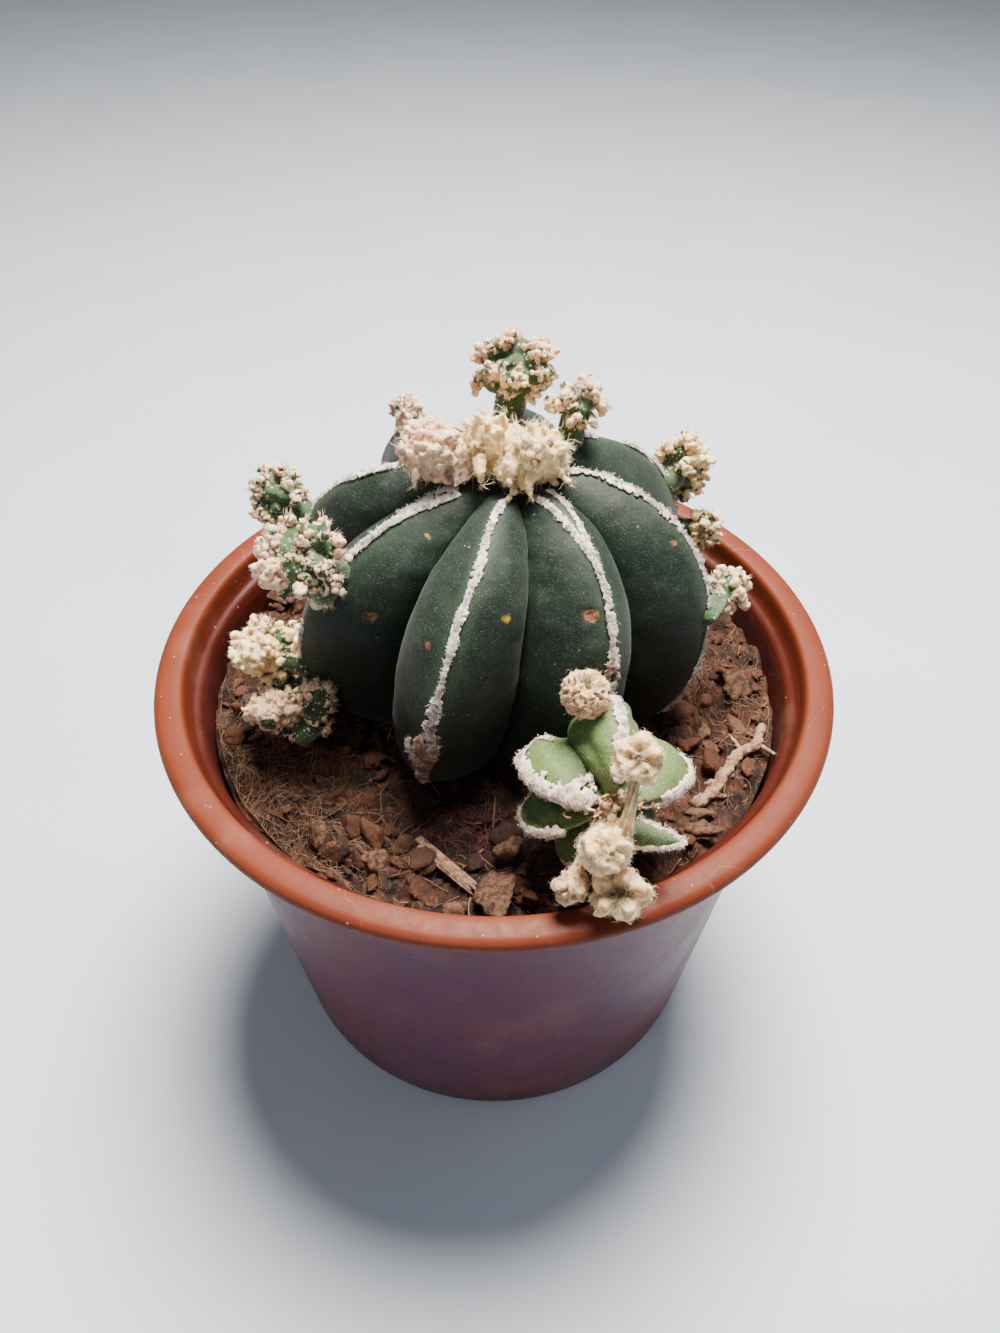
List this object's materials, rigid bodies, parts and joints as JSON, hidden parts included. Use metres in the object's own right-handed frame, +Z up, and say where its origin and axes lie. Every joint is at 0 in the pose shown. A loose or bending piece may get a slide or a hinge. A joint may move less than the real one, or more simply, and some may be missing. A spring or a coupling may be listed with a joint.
{
  "type": "potted cactus",
  "caption": "Squat ribbed green cactus with felt-white rib edges and woolly knobbly offsets, growing in soil in a round terracotta-coloured plastic pot",
  "frame": {"origin": "middle of the pot's foot, on the surface the pot stands on", "axes": "+Z up out of the pot, -Y towards the side the cactus is looked at from, +X to the viewer's right"},
  "size_m": [0.12, 0.12, 0.1393],
  "materials": {
    "pot_plastic": "terracotta-coloured moulded plastic, satin on the lip, dull and slightly mauve on the wall",
    "soil": "dry crumbly dark brown potting soil of bark and fibre, matt",
    "green_skin": "velvety dark grey-green plant skin with fine pale flecks",
    "crown_wool": "cream granular plant wool, matt",
    "offset_wool": "peach and cream fibrous plant wool over green flesh, matt",
    "front_green_skin": "fresh green plant skin with fine pale stipple, satin",
    "front_wool": "cream smooth and fibrous plant wool, matt",
    "twig_bark": "dry brown bark, matt",
    "root_bark": "dry pale brown root, matt",
    "bark": "broken dark brown bark, matt"
  },
  "bodies": {
    "root": {"pot": "pot_plastic", "potting_soil": "soil", "main_stem": "green_skin", "crown_offset_left": "crown_wool", "crown_wool": "crown_wool", "crown_offset_right": "crown_wool", "offset_back_top": "offset_wool", "offset_back_right": "offset_wool", "offset_back_left": "offset_wool", "offset_left_upper": "offset_wool", "offset_left_middle": "offset_wool", "offset_left_low": "offset_wool", "offset_left_base": "offset_wool", "offset_right_upper": "offset_wool", "offset_right_middle": "offset_wool", "offset_right_low": "offset_wool", "front_offset": "front_green_skin", "front_ball_top": "front_wool", "front_ball_right": "front_wool", "front_ball_low": "front_wool", "front_offset_left": "front_wool", "front_offset_right": "front_wool", "twig": "twig_bark", "loose_root": "root_bark", "bark_chip_1": "bark", "bark_chip_2": "bark", "bark_chip_3": "bark", "bark_chip_4": "bark", "bark_chip_5": "bark", "bark_chip_6": "bark", "bark_chip_7": "bark", "bark_chip_8": "bark"}
  },
  "joints": []
}
